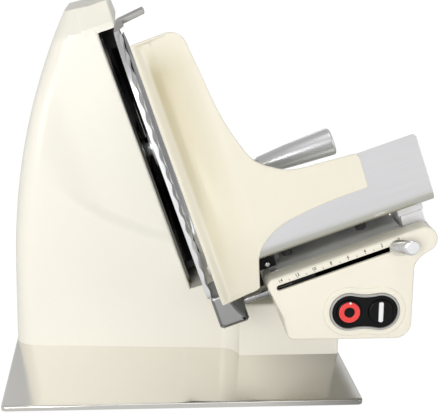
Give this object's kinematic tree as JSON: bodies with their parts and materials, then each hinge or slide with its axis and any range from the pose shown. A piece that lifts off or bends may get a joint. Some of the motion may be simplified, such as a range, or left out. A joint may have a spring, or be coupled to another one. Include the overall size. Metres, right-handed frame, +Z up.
{
  "type": "gravity feed food slicer",
  "caption": "Gravity-feed slicer: leaning fin housing, dished blade, ribbed thickness plate, sliding tray with pusher and hand guard, and a low control housing on a flat base.",
  "frame": {"origin": "bottom centre of the whole, on the floor under the feet", "axes": "+X from the motor housing to the carriage rod, +Y from the operator to the rear, +Z up"},
  "size_m": [0.3966, 0.3548, 0.3695],
  "materials": {
    "body_cream": "smooth cream enamel",
    "panel_cream": "smooth cream moulding",
    "guard_cream": "glossy cream enamel",
    "polished_steel": "polished",
    "satin_aluminium": "satin anodised",
    "cast_grey": "rough as cast",
    "blade_steel": "fine ground",
    "knob_chrome": "mirror polished",
    "black_plastic": "fine moulded",
    "black_rubber": "moulded rubber",
    "switch_grey": "smooth moulding",
    "mark_red": "inlaid mark",
    "mark_white": "inlaid mark",
    "motor_paint": "dark enamel",
    "relay_green": "moulded case",
    "bush_bronze": "turned"
  },
  "bodies": {
    "frame": {"base_plate": "polished_steel", "foot_front_left": "black_rubber", "foot_front_right": "black_rubber", "foot_rear_left": "black_rubber", "foot_rear_right": "black_rubber", "main_housing": "body_cream", "cord_inlet": "black_plastic", "side_plate": "polished_steel", "blade_guard_ring": "satin_aluminium", "blade_cover": "satin_aluminium", "bearing_carrier": "cast_grey", "outer_bearing": "blade_steel", "inner_bearing": "blade_steel", "cover_tie_rod": "blade_steel", "drive_belt": "black_rubber", "motor_can": "motor_paint", "motor_bracket": "cast_grey", "front_panel": "panel_cream", "control_housing": "body_cream", "housing_top_plate": "polished_steel", "carriage_rod": "blade_steel", "scale_strip": "panel_cream", "switch_bezel": "switch_grey", "switch_plate": "black_plastic", "switch_body": "black_plastic", "relay_box": "relay_green", "plate_rod_bush": "bush_bronze"},
    "blade_set": {"blade": "blade_steel", "blade_shaft": "blade_steel", "driven_pulley": "cast_grey"},
    "rotor_set": {"motor_rotor": "blade_steel", "drive_pulley": "cast_grey"},
    "knob_set": {"thickness_knob": "knob_chrome", "thickness_slider": "black_plastic"},
    "cam": {"cam_plate": "blade_steel"},
    "gauge": {"thickness_plate": "satin_aluminium", "plate_carrier": "cast_grey", "plate_rod": "blade_steel", "plate_crosshead": "cast_grey"},
    "carriage": {"tray": "satin_aluminium", "tray_pad_left": "black_rubber", "tray_pad_right": "black_rubber", "hand_guard": "guard_cream", "carriage_arm": "satin_aluminium", "front_rod_bush": "black_plastic", "rear_rod_bush": "black_plastic", "cross_bar": "satin_aluminium", "lift_stop": "black_plastic", "pusher_rod": "blade_steel", "pusher_bracket_left": "satin_aluminium", "pusher_bracket_right": "satin_aluminium"},
    "tray_roller": {"roller": "black_plastic"},
    "push_slider": {"pusher_sleeve": "satin_aluminium"},
    "push_swing": {"pusher_arm": "satin_aluminium", "pusher_plate": "satin_aluminium", "pusher_handle": "satin_aluminium"},
    "off_press": {"off_button": "black_plastic", "off_ring": "mark_red"},
    "on_press": {"on_button": "black_plastic", "on_bar": "mark_white"}
  },
  "joints": [
    {"name": "blade_spin", "type": "hinge", "parent": "frame", "child": "blade_set", "pos_m": [-0.05131, 0.0429, 0.21364], "axis": [0.9426, 0, 0.3338], "continuous": true},
    {"name": "motor_spin", "type": "hinge", "parent": "frame", "child": "rotor_set", "pos_m": [-0.12699, 0.0729, 0.07386], "axis": [0.9426, 0, 0.3338], "continuous": true},
    {"name": "gauge_slide", "type": "slide", "parent": "frame", "child": "gauge", "axis": [-0.9426, 0, -0.3338], "range_m": [0, 0.014]},
    {"name": "thickness_slide", "type": "slide", "parent": "frame", "child": "knob_set", "axis": [-0.9426, 0, -0.3338], "range_m": [0, 0.113]},
    {"name": "cam_slide", "type": "slide", "parent": "frame", "child": "cam", "axis": [0, 1, 0], "range_m": [0, 0.028]},
    {"name": "carriage_slide", "type": "slide", "parent": "frame", "child": "carriage", "axis": [0, 1, 0], "range_m": [0, 0.2]},
    {"name": "roller_spin", "type": "hinge", "parent": "carriage", "child": "tray_roller", "pos_m": [0.05255, -0.0821, 0.13903], "axis": [-0.9426, 0, -0.3338], "range_deg": [0, 1770]},
    {"name": "pusher_slide", "type": "slide", "parent": "carriage", "child": "push_slider", "axis": [0.9426, 0, 0.3338], "range_m": [-0.06, 0.055]},
    {"name": "pusher_swing", "type": "hinge", "parent": "push_slider", "child": "push_swing", "pos_m": [0.06291, 0.0439, 0.15171], "axis": [0.9426, 0, 0.3338], "range_deg": [-100, 0]},
    {"name": "off_button_press", "type": "slide", "parent": "frame", "child": "off_press", "axis": [0, 1, 0], "range_m": [0, 0.002], "stiffness_N_per_m": 600},
    {"name": "on_button_press", "type": "slide", "parent": "frame", "child": "on_press", "axis": [0, 1, 0], "range_m": [0, 0.002], "stiffness_N_per_m": 600}
  ],
  "couplings": [
    {"joint": "motor_spin", "follows": "blade_spin", "ratio": 4.3333},
    {"joint": "thickness_slide", "follows": "gauge_slide", "ratio": 8.0714},
    {"joint": "cam_slide", "follows": "gauge_slide", "ratio": 2},
    {"joint": "roller_spin", "follows": "carriage_slide", "rad_per_m": 153.85}
  ]
}
